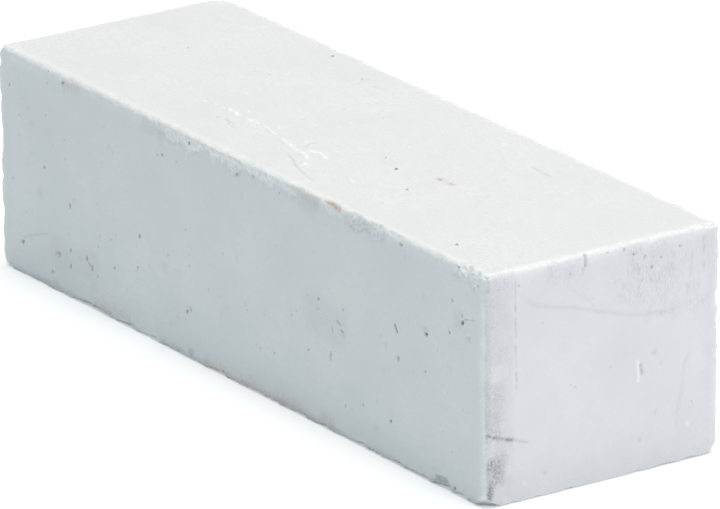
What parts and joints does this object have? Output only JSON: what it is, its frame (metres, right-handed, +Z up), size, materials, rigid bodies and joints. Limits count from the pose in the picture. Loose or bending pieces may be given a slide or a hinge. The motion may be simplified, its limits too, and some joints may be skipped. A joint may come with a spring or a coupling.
{
  "type": "gymnastics chalk block",
  "caption": "Solid rectangular bar of pressed white chalk with worn, chipped edges and small air pits, rubbed on hands for grip.",
  "frame": {"origin": "middle of the underside, on the surface that the bar lies on", "axes": "+X along the bar towards its squarer end, +Y across it, +Z up"},
  "size_m": [0.182, 0.058, 0.05],
  "materials": {
    "chalk": "matt, dry and powdery, faintly smeared where it has been handled"
  },
  "bodies": {
    "root": {"chalk_block": "chalk"}
  },
  "joints": []
}
